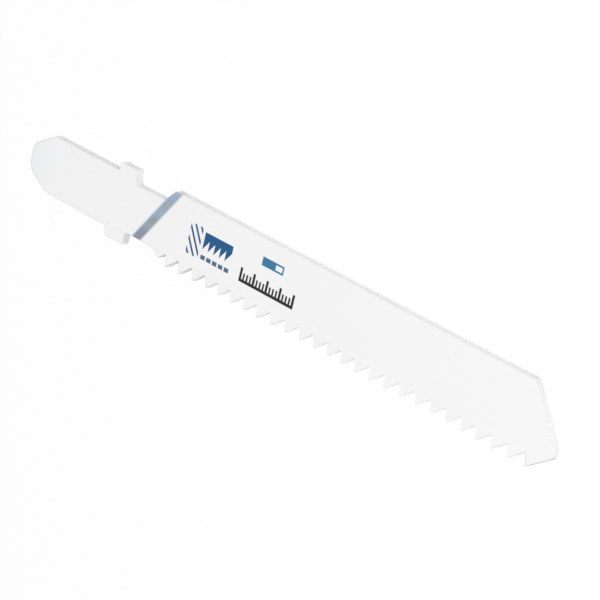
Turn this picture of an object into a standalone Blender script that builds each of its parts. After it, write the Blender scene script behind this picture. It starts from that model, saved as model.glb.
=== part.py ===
"""A jigsaw blade with a T shank, lying flat on its back face.

Run it with blender --background --python part.py. Lengths are in metres.
The outline is drawn with X along the blade from the end of the shank, and with Y towards the
spine, so the teeth point down. The blade is then placed with its middle over the origin.
"""

import math

import bmesh
import bpy
from mathutils import Vector

MM = 0.001

# The strip that the blade is cut from.
TOTAL_LENGTH = 75.0 * MM
THICKNESS = 0.9 * MM
SPINE_Y = 4.0 * MM
TOOTH_LINE_Y = -4.0 * MM

# The shank: a tang with a tapered end, two lugs that the saw's clamp catches, and a neck.
TANG_WIDTH = 6.35 * MM
TANG_END_WIDTH = 2.7 * MM
TANG_TAPER = 3.1 * MM
TANG_END_RADIUS = 1.4 * MM
LUG_END = 16.45 * MM
LUG_ROOT_RADIUS = 0.25 * MM
LUG_END_DRAFT = 0.1 * MM
LUG_END_RADIUS = 0.15 * MM
NECK_RADIUS = 0.5 * MM

# The shank's edge on the spine's side and its edge on the teeth's side, which differ a little.
SPINE_TAPER_RADIUS = 0.4 * MM
SPINE_LUG_LENGTH = 2.75 * MM
SPINE_LUG_HEIGHT = 0.925 * MM
SPINE_LUG_DRAFT = 0.05 * MM
SPINE_LUG_RADIUS = 0.2 * MM
SPINE_NECK_Y = 2.6 * MM
TOOTH_TAPER_RADIUS = 2.5 * MM
TOOTH_LUG_LENGTH = 3.2 * MM
TOOTH_LUG_HEIGHT = 1.0 * MM
TOOTH_LUG_DRAFT = 0.3 * MM
TOOTH_LUG_RADIUS = 0.5 * MM
TOOTH_NECK_Y = -2.75 * MM

# Where the neck widens into the blade: the shoulder on the spine's side, the heel on the teeth's.
SHOULDER_FROM_LUGS = 4.66 * MM
SHOULDER_ANGLE = math.radians(47)
SHOULDER_ROOT_RADIUS = 0.4 * MM
SHOULDER_TOP_RADIUS = 0.3 * MM
HEEL_FROM_LUGS = 4.27 * MM
HEEL_ANGLE = math.radians(30)
HEEL_RADIUS = 1.6 * MM

# The milled teeth, whose steep faces look at the shank: the saw cuts as it pulls the blade up.
TOOTH_PITCH = 1.9665 * MM
FLANK_ANGLE = math.radians(39)
RAKE_LEAN = math.radians(9)
GULLET_RADIUS = 0.18 * MM
LAST_TIP_TO_NOSE = 2.56 * MM

# The wavy set: the toothed edge swings to each side in turn, so the cut is wider than the strip.
SET_REACH = 0.17 * MM
SET_WAVE_TEETH = 8
SET_PEAK_TOOTH = 2
SET_BEND_ABOVE_GULLETS = 0.45 * MM

# The slanted nose, and the last tooth's flank below it.
NOSE_FOOT_ANGLE = math.radians(36)
NOSE_LEAN = math.radians(36.5)
NOSE_RADIUS = 0.85 * MM
NOSE_SPINE_RADIUS = 0.35 * MM

# The edges that the milling cutter leaves alone are rounded over a little.
EDGE_BREAK = 0.07 * MM
EDGE_BREAK_SEGMENTS = 2

ARC_STEP = math.radians(9)
SAME_POINT = 0.0001 * MM

COAT_COLOR = (0.86, 0.87, 0.88, 1.0)
COAT_ROUGHNESS = 0.42
COAT_METALLIC = 0.35

LAST_TIP = Vector((TOTAL_LENGTH - LAST_TIP_TO_NOSE, TOOTH_LINE_Y))


def clear_scene():
    for obj in list(bpy.data.objects):
        bpy.data.objects.remove(obj, do_unlink=True)


def direction(angle):
    return Vector((math.cos(angle), math.sin(angle)))


def meeting_point(a, a_angle, b, b_angle):
    """Where the line through a at a_angle meets the line through b at b_angle."""
    along_a, along_b = direction(a_angle), direction(b_angle)
    reach = (b - a).cross(along_b) / along_a.cross(along_b)
    return a + along_a * reach


def rounded_corner(before, corner, after, radius):
    """The points of an arc that rounds off a corner, or the corner itself where it stays sharp."""
    if radius == 0:
        return [corner]
    arriving = (corner - before).normalized()
    leaving = (after - corner).normalized()
    turn = math.atan2(arriving.cross(leaving), arriving.dot(leaving))
    side = math.copysign(1, turn)
    center_angle = math.atan2(arriving.y, arriving.x) + side * math.pi / 2
    start = corner - arriving * radius * math.tan(abs(turn) / 2)
    center = start + direction(center_angle) * radius
    steps = max(2, math.ceil(abs(turn) / ARC_STEP))
    first_spoke = center_angle + math.pi
    return [center + direction(first_spoke + turn * i / steps) * radius for i in range(steps + 1)]


def rounded(corners):
    """The outline through a ring of corners, each given as a point and its radius."""
    points = []
    for i, (corner, radius) in enumerate(corners):
        before = corners[i - 1][0]
        after = corners[(i + 1) % len(corners)][0]
        points += rounded_corner(before, corner, after, radius)
    return points


def shank_corners(side, taper_radius, lug_length, lug_height, lug_draft, lug_radius, neck_y):
    """One edge of the shank from its end to the neck. side is 1 on the spine's side, else -1."""
    tang = side * TANG_WIDTH / 2
    lug = tang + side * lug_height
    lug_start = LUG_END - lug_length
    return [
        (Vector((0, side * TANG_END_WIDTH / 2)), TANG_END_RADIUS),
        (Vector((TANG_TAPER, tang)), taper_radius),
        (Vector((lug_start, tang)), LUG_ROOT_RADIUS),
        (Vector((lug_start + lug_draft, lug)), lug_radius),
        (Vector((LUG_END - LUG_END_DRAFT, lug)), LUG_END_RADIUS),
        (Vector((LUG_END, neck_y)), NECK_RADIUS),
    ]


def shoulder_corners():
    """The spine's side of the neck, up to the spine."""
    root = Vector((LUG_END + SHOULDER_FROM_LUGS, SPINE_NECK_Y))
    top = meeting_point(root, SHOULDER_ANGLE, Vector((0, SPINE_Y)), 0)
    return [(root, SHOULDER_ROOT_RADIUS), (top, SHOULDER_TOP_RADIUS)]


def heel_root():
    return Vector((LUG_END + HEEL_FROM_LUGS, TOOTH_NECK_Y))


def whole_teeth():
    """How many teeth fit between the nose and the line that the heel comes down on."""
    row_start = meeting_point(heel_root(), -HEEL_ANGLE, LAST_TIP, 0).x
    return math.floor((LAST_TIP.x - row_start) / TOOTH_PITCH) + 1


def tooth_tip(from_last):
    return LAST_TIP - Vector((from_last * TOOTH_PITCH, 0))


def gullet_corner(from_last):
    """Where the rake face of a tooth would meet the flank of the tooth before it."""
    rake_angle = math.pi / 2 + RAKE_LEAN
    return meeting_point(tooth_tip(from_last), rake_angle, tooth_tip(from_last + 1), FLANK_ANGLE)


def gullet_top_y():
    """The height of the highest point of the rounded gullets."""
    floor = rounded_corner(tooth_tip(1), gullet_corner(0), tooth_tip(0), GULLET_RADIUS)
    return max(point.y for point in floor)


def tooth_corners():
    """The toothed edge from the heel to the last tip. The heel cuts off the first tooth's tip."""
    count = whole_teeth()
    short_tip = meeting_point(heel_root(), -HEEL_ANGLE, tooth_tip(count), FLANK_ANGLE)
    corners = [(heel_root(), HEEL_RADIUS), (short_tip, 0)]
    for from_last in reversed(range(count)):
        corners.append((gullet_corner(from_last), GULLET_RADIUS))
        corners.append((tooth_tip(from_last), 0))
    return corners


def nose_corners():
    """The nose: the last tooth's flank meets a slanted end that leans back to the spine."""
    flank_inward = direction(NOSE_FOOT_ANGLE + math.pi / 2)
    above_flank = LAST_TIP + flank_inward * NOSE_RADIUS
    foremost = Vector((TOTAL_LENGTH - NOSE_RADIUS, 0))
    center = meeting_point(above_flank, NOSE_FOOT_ANGLE, foremost, math.pi / 2)
    slant_angle = NOSE_LEAN + math.pi / 2
    on_slant = center + direction(NOSE_LEAN) * NOSE_RADIUS
    tip = meeting_point(LAST_TIP, NOSE_FOOT_ANGLE, on_slant, slant_angle)
    top = meeting_point(on_slant, slant_angle, Vector((0, SPINE_Y)), 0)
    return [(tip, NOSE_RADIUS), (top, NOSE_SPINE_RADIUS)]


def outline_points():
    toothed_shank = shank_corners(
        -1, TOOTH_TAPER_RADIUS, TOOTH_LUG_LENGTH, TOOTH_LUG_HEIGHT, TOOTH_LUG_DRAFT,
        TOOTH_LUG_RADIUS, TOOTH_NECK_Y,
    )
    spine_shank = shank_corners(
        1, SPINE_TAPER_RADIUS, SPINE_LUG_LENGTH, SPINE_LUG_HEIGHT, SPINE_LUG_DRAFT,
        SPINE_LUG_RADIUS, SPINE_NECK_Y,
    )
    toothed_side = toothed_shank + tooth_corners() + nose_corners()
    spine_side = spine_shank + shoulder_corners()
    return rounded(toothed_side + spine_side[::-1])


def flat_strip(points):
    """A mesh of the outline, as thick as the strip, with its middle plane at zero."""
    curve = bpy.data.curves.new("blade_outline", "CURVE")
    curve.dimensions = "2D"
    curve.fill_mode = "BOTH"
    curve.extrude = THICKNESS / 2
    spline = curve.splines.new("POLY")
    spline.points.add(len(points) - 1)
    for spline_point, point in zip(spline.points, points):
        spline_point.co = (point.x, point.y, 0, 1)
    spline.use_cyclic_u = True
    outline = bpy.data.objects.new("blade_outline", curve)
    mesh = bpy.data.meshes.new_from_object(outline)
    bpy.data.objects.remove(outline)
    bpy.data.curves.remove(curve)
    return mesh


def set_shift(point, bend_y):
    """How far the set carries a point sideways: nothing at the bend, the full reach at a tip."""
    depth = (bend_y - point.y) / (bend_y - TOOTH_LINE_Y)
    teeth_from_peak = (LAST_TIP.x - point.x) / TOOTH_PITCH - SET_PEAK_TOOTH
    return SET_REACH * depth * math.cos(2 * math.pi * teeth_from_peak / SET_WAVE_TEETH)


def cut_across(bm, faces, point, normal):
    edges = {edge for face in faces for edge in face.edges}
    verts = {vert for face in faces for vert in face.verts}
    parts = list(verts) + list(edges) + list(faces)
    bmesh.ops.bisect_plane(bm, geom=parts, dist=SAME_POINT, plane_co=point, plane_no=normal)


def faces_below(bm, y):
    return [face for face in bm.faces if face.calc_center_median().y < y]


def bend_teeth(bm):
    """Gives the toothed edge its wavy set, about a line just above the gullets."""
    bend_y = gullet_top_y() + SET_BEND_ABOVE_GULLETS
    cut_across(bm, bm.faces[:], (0, bend_y, 0), (0, 1, 0))
    for from_last in range(whole_teeth()):
        gullet_x = gullet_corner(from_last).x
        cut_across(bm, faces_below(bm, bend_y), (gullet_x, 0, 0), (1, 0, 0))
    for vert in bm.verts:
        if vert.co.y < bend_y and vert.co.x > LUG_END:
            vert.co.z += set_shift(vert.co, bend_y)


def mark_rounded_edges(bm):
    """Marks the rims of both faces for the edge rounding, apart from the milled tooth row."""
    weight = bm.edges.layers.float.new("bevel_weight_edge")
    row_start = tooth_corners()[1][0].x
    for edge in bm.edges:
        flat_sides = [abs(face.normal.z) > 0.5 for face in edge.link_faces]
        milled = all(
            row_start - SAME_POINT < vert.co.x < LAST_TIP.x + SAME_POINT
            and vert.co.y < gullet_top_y() + SAME_POINT
            for vert in edge.verts
        )
        edge[weight] = float(any(flat_sides) and not all(flat_sides) and not milled)


def coat_material():
    material = bpy.data.materials.new("white_coat")
    material.use_nodes = True
    shader = material.node_tree.nodes["Principled BSDF"]
    shader.inputs["Base Color"].default_value = COAT_COLOR
    shader.inputs["Roughness"].default_value = COAT_ROUGHNESS
    shader.inputs["Metallic"].default_value = COAT_METALLIC
    return material


def build_blade(collection):
    mesh = flat_strip(outline_points())
    bm = bmesh.new()
    bm.from_mesh(mesh)
    bmesh.ops.remove_doubles(bm, verts=bm.verts, dist=SAME_POINT)
    bmesh.ops.recalc_face_normals(bm, faces=bm.faces)
    bend_teeth(bm)
    mark_rounded_edges(bm)
    lowest = min(vert.co.z for vert in bm.verts)
    bm.to_mesh(mesh)
    bm.free()

    blade = bpy.data.objects.new("blade", mesh)
    mesh.name = "blade"
    mesh.materials.clear()
    mesh.materials.append(coat_material())
    blade.location = (-TOTAL_LENGTH / 2, 0, -lowest)
    edge_break = blade.modifiers.new("edge_break", "BEVEL")
    edge_break.limit_method = "WEIGHT"
    edge_break.width = EDGE_BREAK
    edge_break.segments = EDGE_BREAK_SEGMENTS
    collection.objects.link(blade)
    return blade


def main():
    clear_scene()
    collection = bpy.data.collections.new("jigsaw_blade")
    bpy.context.scene.collection.children.link(collection)
    build_blade(collection)


main()
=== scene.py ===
import math

import bpy
from mathutils import Matrix, Vector

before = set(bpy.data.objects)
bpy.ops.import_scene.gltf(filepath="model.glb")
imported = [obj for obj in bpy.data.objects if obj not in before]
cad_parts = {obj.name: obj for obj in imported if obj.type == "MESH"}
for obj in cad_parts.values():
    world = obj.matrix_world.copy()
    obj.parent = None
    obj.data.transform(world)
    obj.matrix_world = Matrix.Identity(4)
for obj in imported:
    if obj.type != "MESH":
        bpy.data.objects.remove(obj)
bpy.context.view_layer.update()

mm = 0.001


class Wire:
    # one output socket: sums on it add Math nodes to its tree
    def __init__(self, tree, socket):
        self.tree = tree
        self.socket = socket

    def math(self, operation, *values):
        return addNode(self.tree, "ShaderNodeMath", {"operation": operation}, dict(enumerate(values)))

    def __add__(self, other):
        return self.math("ADD", self, other)

    def __radd__(self, other):
        return self.math("ADD", other, self)

    def __sub__(self, other):
        return self.math("SUBTRACT", self, other)

    def __rsub__(self, other):
        return self.math("SUBTRACT", other, self)

    def __mul__(self, other):
        return self.math("MULTIPLY", self, other)

    def __rmul__(self, other):
        return self.math("MULTIPLY", other, self)

    def __truediv__(self, other):
        return self.math("DIVIDE", self, other)

    def __mod__(self, other):
        return self.math("FLOORED_MODULO", self, other)

    def __abs__(self):
        return self.math("ABSOLUTE", self)


def addNode(tree, kind, settings=None, inputs=None, output=0):
    # any node: its settings first, then the values or wires of its sockets
    node = tree.nodes.new(kind)
    for name, value in (settings or {}).items():
        if name == "stops":
            setStops(node.color_ramp, value)
        else:
            setattr(node, name, value)
    for name, value in (inputs or {}).items():
        if isinstance(value, Wire):
            tree.links.new(value.socket, node.inputs[name])
        else:
            node.inputs[name].default_value = value
    return Wire(tree, node.outputs[output]) if node.outputs else None


def setStops(ramp, stops):
    while len(ramp.elements) < len(stops):
        ramp.elements.new(1.0)
    for element, (position, color) in zip(ramp.elements, stops):
        element.position = position
        element.color = (*color, 1)


def emptyTree(owner):
    owner.use_nodes = True
    owner.node_tree.nodes.clear()
    return owner.node_tree


def smallest(first, *others):
    for other in others:
        first = first.math("MINIMUM", first, other)
    return first


def largest(first, *others):
    for other in others:
        first = first.math("MAXIMUM", first, other)
    return first


def within(distance, softness):
    # 1 where a signed distance is below zero and 0 outside, with an edge as wide as the softness
    return addNode(distance.tree, "ShaderNodeClamp", {}, {"Value": 0.5 - distance / softness})


def mixColor(amount, first, second):
    # from the first colour to the second: a Mix node takes colours at sockets 6 and 7 and gives one at 2
    first, second = [(*tone, 1) if isinstance(tone, tuple) else tone for tone in (first, second)]
    return addNode(amount.tree, "ShaderNodeMix", {"data_type": "RGBA"}, {0: amount, 6: first, 7: second}, 2)


def noise(place, look):
    # noise from 0 to 1, with so many grains per mm along each axis
    stretched = addNode(
        place.tree, "ShaderNodeVectorMath", {"operation": "MULTIPLY"}, {0: place, 1: look["grains"]})
    return addNode(place.tree, "ShaderNodeTexNoise", {}, {
        "Vector": stretched,
        "Scale": 1.0,
        "Detail": look["detail"],
        "Roughness": look["roughness"],
    })


# Floor, light and camera

floorLook = {
    "size": 6.0,
    "color": (0.985, 0.985, 0.985, 1),
    "shadowKept": 0.3,         # share of the floor's own shading that is seen
}

softboxLook = {
    "lookAt": (0.0, 0.0, 0.0),
    "azimuth": 22.0,           # degrees from the nose's side towards the spine's
    "elevation": 60.0,
    "distance": 0.9,
    "size": 0.55,
    "power": 4.95,
}

fillLook = {
    "lookAt": (37.5 * mm, 0.0, 0.0),
    "azimuth": -75.0,          # low on the teeth's side, near the nose
    "elevation": 12.0,
    "distance": 60 * mm,
    "size": 20 * mm,
    "power": 0.0022,
}

skyLook = {
    "strength": 0.5,
}

cameraLook = {
    "lookAt": (3.607 * mm, -0.529 * mm, 0.0),
    "azimuth": 26.563,
    "elevation": 46.836,
    "distance": 227.69 * mm,
    "roll": 96.037,            # turns the blade's length to run down the picture
    "lens": 138.54,
}


def directionTo(azimuth, elevation):
    level = math.cos(math.radians(elevation))
    return Vector((
        level * math.cos(math.radians(azimuth)),
        level * math.sin(math.radians(azimuth)),
        math.sin(math.radians(elevation)),
    ))


def placedLooking(target, azimuth, elevation, distance, roll):
    # where a lamp or camera stands to look at the target, its top rolled from upright
    away = directionTo(azimuth, elevation)
    right = Vector((0, 0, 1)).cross(away).normalized()
    upright = away.cross(right)
    turn = math.radians(roll)
    up = upright * math.cos(turn) + right * math.sin(turn)
    axes = Matrix((up.cross(away), up, away)).transposed()
    return Matrix.Translation(Vector(target) + away * distance) @ axes.to_4x4()


def addCamera(look):
    camera = bpy.data.objects.new("camera", bpy.data.cameras.new("camera"))
    camera.data.lens = look["lens"]
    camera.data.clip_start = 1 * mm
    camera.matrix_world = placedLooking(
        look["lookAt"], look["azimuth"], look["elevation"], look["distance"], look["roll"])
    bpy.context.scene.collection.objects.link(camera)
    bpy.context.scene.camera = camera


def addLamp(name, look):
    lamp = bpy.data.objects.new(name, bpy.data.lights.new(name, "AREA"))
    lamp.data.shape = "DISK"
    lamp.data.size = look["size"]
    lamp.data.energy = look["power"]
    lamp.matrix_world = placedLooking(
        look["lookAt"], look["azimuth"], look["elevation"], look["distance"], 0)
    bpy.context.scene.collection.objects.link(lamp)


def raysThatSee(tree):
    # 1 for a ray that shows the background: from the camera, or by way of gloss or glass
    return largest(*[
        addNode(tree, "ShaderNodeLightPath", output=name)
        for name in ("Is Camera Ray", "Is Glossy Ray", "Is Transmission Ray")
    ])


def addSky(look):
    # white to look at, and dimmer as a light
    world = bpy.data.worlds.new("sky")
    tree = emptyTree(world)
    dim = addNode(tree, "ShaderNodeBackground", {}, {"Color": (1, 1, 1, 1), "Strength": look["strength"]})
    white = addNode(tree, "ShaderNodeBackground", {}, {"Color": (1, 1, 1, 1), "Strength": 1.0})
    seen = addNode(tree, "ShaderNodeMixShader", {}, {0: raysThatSee(tree), 1: dim, 2: white})
    addNode(tree, "ShaderNodeOutputWorld", {}, {"Surface": seen})
    bpy.context.scene.world = world


def floorMaterial(look):
    material = bpy.data.materials.new("paleFloor")
    tree = emptyTree(material)
    shaded = addNode(tree, "ShaderNodeBsdfDiffuse", {}, {"Color": look["color"]})
    white = addNode(tree, "ShaderNodeEmission", {}, {"Color": (1, 1, 1, 1), "Strength": 1.0})
    whiteness = raysThatSee(tree) * (1 - look["shadowKept"])
    seen = addNode(tree, "ShaderNodeMixShader", {}, {0: whiteness, 1: shaded, 2: white})
    addNode(tree, "ShaderNodeOutputMaterial", {}, {"Surface": seen})
    return material


def addFloor(look):
    bpy.ops.mesh.primitive_plane_add(size=look["size"])
    floor = bpy.context.object
    floor.name = "floor"
    floor.data.materials.append(floorMaterial(look))


# The white coat, with its heat-tinted band and its print

# places are in mm on the blade: along it towards the nose, across it towards the spine, and up
coatLook = {
    "color": (0.915, 0.915, 0.913),
    "shade": (0.880, 0.881, 0.880),     # the darker of its faint clouds
    "cool": (0.800, 0.870, 0.905),      # a faint patch at the end of the tang
    "coolAmount": 0.5,
    "coolEnds": -34.7,                  # along
    "coolHalfWidth": 1.7,
    "coolFades": 2.4,
    "paintedHighlight": (0.990, 0.990, 0.985),  # painted highlight, lighter than the coat: low on the sides and on the nose's rim
    "highlightBelow": (0.44, 0.40),       # up, and its fade
    "highlightTo": (30.0, 5.0),           # along, and its fade
    "highlightAtNose": 0.8,               # how strongly the highlight is painted on the nose's rim
    # its noises, with their grains per mm along, across and up and their shares in the shade
    "clouds": {"grains": (0.06, 0.14, 0.1), "detail": 2, "roughness": 0.5, "share": 0.45},
    "drawn": {"grains": (0.12, 7.0, 3.0), "detail": 3, "roughness": 0.6, "share": 0.3},
    "grain": {"grains": (7.0, 7.0, 7.0), "detail": 4, "roughness": 0.65, "share": 0.25},
    "roughness": 0.42,
    "roughnessSpread": 0.10,
    "specular": 0.25,
    "reliefHeight": 0.0012 * mm,
    "drawnRelief": 0.5,                 # the drawing lines' height beside the grain's
}

# how much the bare steel's grey darkens each place, as rubbed wear at the shank's edges and as painted shade
# on the sides, the teeth and the nose; each place comes with its fade: over 1, the darkened edge gets wider
shadeAndWearLook = {
    "bareAndShade": (0.50, 0.50, 0.505),        # grey of steel where the coat is rubbed thin, also painted as shade on the sides, the teeth and the nose
    "towardsNose": (-7.5, 7.0),               # along: up to it the shank's end is rubbed and painted darker, past it the nose's end is not
    "edges": (0.55, 0.02),              # of the faces, at the shank's end and at the nose's: rubbed wear with painted shade lines
    "edgeWidth": 0.20 * mm,
    "edgeSamples": 8,
    "sides": 0.20,                      # of the steel strip
    "sidesEnd": (-12.0, 15.0),          # along: past it the sides get no painted shade
    "lowHalf": (0.5, 0.6),              # up: below it, near the floor, the sides get more painted shade
    "lowHalfSpread": (0.7, 1.3),        # how much less above it and more below it
    "tangEnd": (-35.6, 3.0),            # along: before it the edges are darkest, rubbed and painted with shade
    "tangEndEdge": 3.0,
    "atTeeth": (-2.3, 0.8),             # across: below it is the teeth's side
    "toothSides": 0.55,
    "lastTeeth": (27.0, 8.0),           # along: past it the teeth's edges get painted shade
    "lastTeethEdge": 0.4,
    "noseFoot": (34.6, 0.5),            # along: past it the last tooth's back gets painted shade too
    "noseFootSide": 1.5,
    "noseFootEdge": 1.4,
    "nose": (35.8, 0.4),                # along the centre line: past it is the nose's side
    "noseLean": 0.74,                   # along for each mm across
    "noseSides": 0.08,
    "noseTop": (2.3, 1.4),              # across: above it the nose's side gets more painted shade
    "noseTopSides": 0.17,
}

bandLook = {
    "middle": -17.42,                   # along, where it crosses the blade's centre line
    "lean": 0.675,                      # along for each mm across
    "width": 1.30,
    "edge": 0.32,                       # how softly it ends
    "wander": 0.16,                     # how far its edges waver
    "fringe": 0.55,                     # how wide a fainter tint lies on either side
    "fringeAmount": 0.35,
    "straw": (0.930, 0.895, 0.790),     # the fringe's tint towards the nose
    "chill": (0.800, 0.870, 0.910),     # and towards the shank
    "bottom": -2.6,                     # across, where its run of colours starts
    "top": 4.0,
    "stops": [
        (0.00, (0.290, 0.290, 0.370)),
        (0.12, (0.270, 0.290, 0.375)),
        (0.26, (0.310, 0.375, 0.450)),
        (0.39, (0.280, 0.345, 0.365)),
        (0.52, (0.300, 0.435, 0.570)),
        (0.68, (0.350, 0.385, 0.465)),
        (0.80, (0.320, 0.410, 0.510)),
        (0.90, (0.320, 0.420, 0.580)),
        (1.00, (0.460, 0.440, 0.530)),
    ],
    "onSides": 0.45,                    # how strong it is on the steel strip's sides
    "metallic": 0.35,
    "roughness": 0.34,
}

inkLook = {
    "face": 0.62,                       # up: print lies on the face above this
    "edge": 0.05,                       # how softly it ends
    "roughness": 0.30,
}

# the print's marks, with their places and sizes along and across the face
hatchLook = {
    "ink": (0.008, 0.078, 0.210),
    "middle": (-11.05, 0.22),
    "size": (1.84, 3.30),
    "lean": 0.7,
    "pitch": 0.86,
    "bars": 5,
    "barWidth": 0.32,
}

sawLook = {
    "ink": (0.006, 0.088, 0.240),
    "middle": (-7.675, 0.63),
    "size": (4.15, 1.90),
    "teeth": 5,
    "toothHeight": 1.12,
}

dashesLook = {
    "ink": (0.075, 0.140, 0.250),
    "first": (-9.43, -1.08),            # the middle of the first dash
    "size": (0.66, 0.46),
    "pitch": 0.88,
    "count": 5,
}

gaugeLook = {
    "ink": (0.038, 0.185, 0.356),
    "middle": (0.08, 1.74),
    "size": (3.04, 0.92),
    "line": 0.20,
    "filled": 0.63,
}

scaleLook = {
    "ink": (0.008, 0.008, 0.009),
    "first": (-3.84, -1.42),            # the foot of the first tick
    "pitch": 0.4675,
    "ticks": 17,
    "tick": (0.24, 1.00),
    "longTick": (0.32, 1.48),
    "longEvery": 4,
    "base": 0.32,
}


def box(u, v, middle, size):
    # signed distance to a filled rectangle
    return largest(abs(u - middle[0]) - size[0] / 2, abs(v - middle[1]) - size[1] / 2)


def repeated(u, first, pitch, count):
    # folds a row onto its first place, and gives the distance past the row's ends
    fromFirst = u - first
    folded = (fromFirst + pitch / 2) % pitch - pitch / 2
    return folded, abs(fromFirst - (count - 1) * pitch / 2) - count * pitch / 2


def hatch(u, v, look):
    # slanted bars that fill a rectangle, as cut metal is drawn
    middle, pitch, bars = look["middle"], look["pitch"], look["bars"]
    slanted = u - middle[0] + (v - middle[1]) * look["lean"]
    folded, past = repeated(slanted, -(bars - 1) * pitch / 2, pitch, bars)
    return largest(abs(folded) - look["barWidth"] / 2, past, box(u, v, middle, look["size"]))


def saw(u, v, look):
    # a rectangle with teeth along its lower edge
    middle, size = look["middle"], look["size"]
    pitch = size[0] / look["teeth"]
    toothEdge = (u - middle[0] + size[0] / 2) % pitch * (look["toothHeight"] / pitch)
    return largest(toothEdge + (middle[1] - size[1] / 2) - v, box(u, v, middle, size))


def dashes(u, v, look):
    # a row of like rectangles
    folded, past = repeated(u, look["first"][0], look["pitch"], look["count"])
    return largest(box(folded, v, (0, look["first"][1]), look["size"]), past)


def gauge(u, v, look):
    # a rectangle's outline, partly filled from the end towards the shank
    middle, size, length = look["middle"], look["size"], look["size"][0] * look["filled"]
    whole = box(u, v, middle, size)
    filled = box(u, v, (middle[0] - (size[0] - length) / 2, middle[1]), (length, size[1]))
    return smallest(largest(whole, -look["line"] - whole), filled)


def scale(u, v, look):
    # a ruled scale: a base line with ticks, some of them longer
    start, foot = look["first"]
    pitch, every = look["pitch"], look["longEvery"]
    length = (look["ticks"] - 1) * pitch
    base = box(u, v, (start + length / 2, foot + look["base"] / 2), (length, look["base"]))
    ticks = dashes(u, v, {
        "first": (start, foot + look["tick"][1] / 2),
        "size": look["tick"],
        "pitch": pitch,
        "count": look["ticks"],
    })
    longTicks = dashes(u, v, {
        "first": (start, foot + look["longTick"][1] / 2),
        "size": look["longTick"],
        "pitch": pitch * every,
        "count": (look["ticks"] - 1) // every + 1,
    })
    return smallest(base, ticks, longTicks)


def bladePlaces(tree):
    # the blade's own coordinates in mm: towards the nose, towards the spine, and up
    inMetres = addNode(tree, "ShaderNodeTexCoord", output="Object")
    place = addNode(tree, "ShaderNodeVectorMath", {"operation": "SCALE"}, {0: inMetres, "Scale": 1 / mm})
    along, across, height = [
        addNode(tree, "ShaderNodeSeparateXYZ", {}, {0: place}, axis) for axis in range(3)
    ]
    return place, along, across, height


def howLevel(tree):
    # 1 on the blade's two faces and 0 on the sides of its steel strip
    normal = addNode(tree, "ShaderNodeTexCoord", output="Normal")
    return abs(addNode(tree, "ShaderNodeSeparateXYZ", {}, {0: normal}, 2))


def nearEdge(tree, width, samples):
    # 1 at the blade's edges, falling to 0 at this width from them
    rounded = addNode(tree, "ShaderNodeBevel", {"samples": samples}, {"Radius": width})
    flat = addNode(tree, "ShaderNodeNewGeometry", output="Normal")
    alike = addNode(tree, "ShaderNodeVectorMath", {"operation": "DOT_PRODUCT"}, {0: rounded, 1: flat}, 1)
    halfCorner = 1 - math.cos(math.radians(45))
    return addNode(tree, "ShaderNodeClamp", {}, {"Value": (1 - alike) / halfCorner})


def between(amount, ends):
    # the first end where the amount is 0, and the second where it is 1
    return ends[0] + amount * (ends[1] - ends[0])


def below(value, limit):
    # 1 below a place and 0 above it: the place comes with the width of its fade
    return within(value - limit[0], limit[1])


def above(value, limit):
    return 1 - below(value, limit)


def paintShadeAndWear(color, along, across, height, coat, shadeAndWear):
    # rubbed wear and painted shade, most at the shank and at the nose's foot, and a painted highlight low on
    # the sides towards the nose and on the nose's rim
    towardsNose = above(along, shadeAndWear["towardsNose"])
    atNose = above(along + across * shadeAndWear["noseLean"], shadeAndWear["nose"])
    atTeeth = below(across, shadeAndWear["atTeeth"])
    atFoot = above(along, shadeAndWear["noseFoot"]) * atTeeth
    level = howLevel(along.tree)
    onSide = 1 - level
    rim = nearEdge(along.tree, shadeAndWear["edgeWidth"], shadeAndWear["edgeSamples"]) * level

    edge = largest(
        between(towardsNose, shadeAndWear["edges"]),
        below(along, shadeAndWear["tangEnd"]) * shadeAndWear["tangEndEdge"],
        above(along, shadeAndWear["lastTeeth"]) * atTeeth * shadeAndWear["lastTeethEdge"],
        atFoot * shadeAndWear["noseFootEdge"])
    side = largest(
        below(along, shadeAndWear["sidesEnd"]) * shadeAndWear["sides"],
        (1 - towardsNose) * atTeeth * shadeAndWear["toothSides"],
        atNose * shadeAndWear["noseSides"],
        atNose * above(across, shadeAndWear["noseTop"]) * shadeAndWear["noseTopSides"],
        atFoot * shadeAndWear["noseFootSide"])
    side = side * between(below(height, shadeAndWear["lowHalf"]), shadeAndWear["lowHalfSpread"]) * onSide
    # the bare steel's grey: rubbed wear on the edges near the shank, painted shade on the sides, the teeth,
    # the nose and the last tooth's back
    bareAndShade = addNode(along.tree, "ShaderNodeClamp", {}, {"Value": rim * edge + side})

    # painted highlight: a lighter coat low on the sides and on the nose's rim
    highlighted = below(height, coat["highlightBelow"]) * onSide * towardsNose * below(along, coat["highlightTo"])
    highlighted = highlighted + rim * atNose * (1 - atTeeth) * coat["highlightAtNose"]
    return mixColor(bareAndShade, mixColor(highlighted, color, coat["paintedHighlight"]), shadeAndWear["bareAndShade"])


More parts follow.
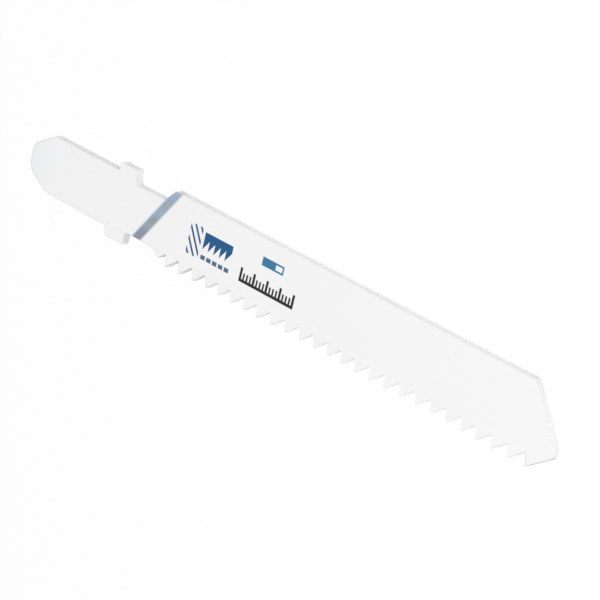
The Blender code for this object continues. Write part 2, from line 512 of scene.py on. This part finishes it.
def coatMaterial(coat, shadeAndWear, band, ink, marks):
    material = bpy.data.materials.new("whiteCoat")
    tree = emptyTree(material)
    place, along, across, height = bladePlaces(tree)

    clouds, drawn, grain = [noise(place, coat[name]) for name in ("clouds", "drawn", "grain")]
    shade = clouds * coat["clouds"]["share"] + drawn * coat["drawn"]["share"] + grain * coat["grain"]["share"]
    color = mixColor(shade, coat["color"], coat["shade"])
    fromCool = largest(along - coat["coolEnds"], abs(across) - coat["coolHalfWidth"])
    color = mixColor(within(fromCool, coat["coolFades"]) * coat["coolAmount"], color, coat["cool"])
    color = paintShadeAndWear(color, along, across, height, coat, shadeAndWear)

    past = along - across * band["lean"] - band["middle"] + (grain - 0.5) * band["wander"]
    fromBand = abs(past) - band["width"] / 2
    fringe = within(fromBand - band["fringe"] / 2, band["fringe"]) * band["fringeAmount"]
    color = mixColor(fringe, color, mixColor(within(past, band["edge"]), band["straw"], band["chill"]))
    run = (across - band["bottom"]) / (band["top"] - band["bottom"])
    tint = addNode(tree, "ShaderNodeValToRGB", {"stops": band["stops"]}, {"Fac": run})
    inBand = within(fromBand, band["edge"]) * between(howLevel(tree), (band["onSides"], 1))
    color = mixColor(inBand, color, tint)

    onFace = within(ink["face"] - height, ink["edge"])
    inked = 0.0
    for mark, look in marks:
        printed = within(mark(along, across, look), ink["edge"]) * onFace
        color = mixColor(printed, color, look["ink"])
        inked = printed + inked

    rough = coat["roughness"] + (grain - 0.5) * coat["roughnessSpread"]
    rough = rough + inBand * (band["roughness"] - coat["roughness"])
    rough = rough + inked * (ink["roughness"] - coat["roughness"])
    relief = addNode(tree, "ShaderNodeBump", {}, {
        "Strength": 1.0,
        "Distance": coat["reliefHeight"],
        "Height": grain + drawn * coat["drawnRelief"],
    })
    surface = addNode(tree, "ShaderNodeBsdfPrincipled", {}, {
        "Base Color": color,
        "Roughness": rough,
        "Metallic": inBand * band["metallic"],
        "Specular IOR Level": coat["specular"],
        "Normal": relief,
    })
    addNode(tree, "ShaderNodeOutputMaterial", {}, {"Surface": surface})
    return material


print("floor, light and camera")
bpy.context.scene.view_settings.view_transform = "Standard"
addFloor(floorLook)
addCamera(cameraLook)
addLamp("softbox", softboxLook)
addLamp("fill", fillLook)
addSky(skyLook)

print("coat, band and print")
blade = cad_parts["blade"]
marks = [(hatch, hatchLook), (saw, sawLook), (dashes, dashesLook), (gauge, gaugeLook), (scale, scaleLook)]
blade.material_slots[0].material = coatMaterial(coatLook, shadeAndWearLook, bandLook, inkLook, marks)
